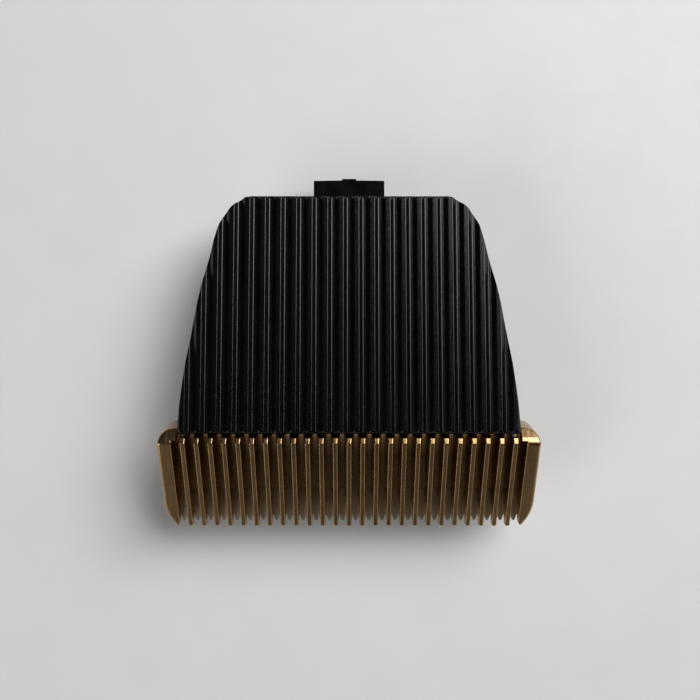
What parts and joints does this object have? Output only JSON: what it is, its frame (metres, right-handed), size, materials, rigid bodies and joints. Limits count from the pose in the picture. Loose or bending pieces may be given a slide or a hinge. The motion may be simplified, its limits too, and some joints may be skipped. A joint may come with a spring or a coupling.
{
  "type": "hair clipper blade set",
  "caption": "Detachable hair clipper blade set: gold toothed comb with a sliding cutter behind it, under a black ribbed plastic cover with a mounting hook at its rear edge.",
  "frame": {"origin": "under the middle of the set, on the plane of the rear rim that it lies on", "axes": "+X across the blade, +Y towards the mounting hook, -Y towards the comb's tips, +Z out of the ribbed face"},
  "size_m": [0.045, 0.0432, 0.013],
  "materials": {
    "cover_plastic": "moulded black with fine grain on the ribs",
    "frame_plastic": "moulded black, plain",
    "comb_gold": "satin gold coating on ground steel",
    "cutter_steel": "dark coated, ground flat",
    "carrier_plastic": "moulded pale grey, low friction",
    "lever_plastic": "moulded dark grey",
    "bright_steel": "bright turned or ground",
    "spring_wire": "drawn wire"
  },
  "bodies": {
    "housing": {"ribbed_cover": "cover_plastic", "base_frame": "frame_plastic", "fixed_comb": "comb_gold", "comb_screws": "bright_steel", "lever_pivot_pins": "bright_steel", "lever_spring_left": "spring_wire", "lever_spring_right": "spring_wire"},
    "lever": {"cleaning_lever": "lever_plastic", "guide_rail": "bright_steel"},
    "cutter": {"moving_cutter": "cutter_steel", "cutter_carrier": "carrier_plastic", "carrier_rivets": "bright_steel"}
  },
  "joints": [
    {"name": "lever_tilt", "type": "hinge", "parent": "housing", "child": "lever", "pos_m": [0, 0.00285, 0.005], "axis": [1, 0, 0], "range_deg": [0, 5], "stiffness_Nm_per_rad": 0.2, "springref_deg": -9.74, "deforming": ["lever_spring_left", "lever_spring_right"]},
    {"name": "cutter_stroke", "type": "slide", "parent": "lever", "child": "cutter", "axis": [1, 0, 0], "range_m": [-0.0013, 0.0013]}
  ]
}
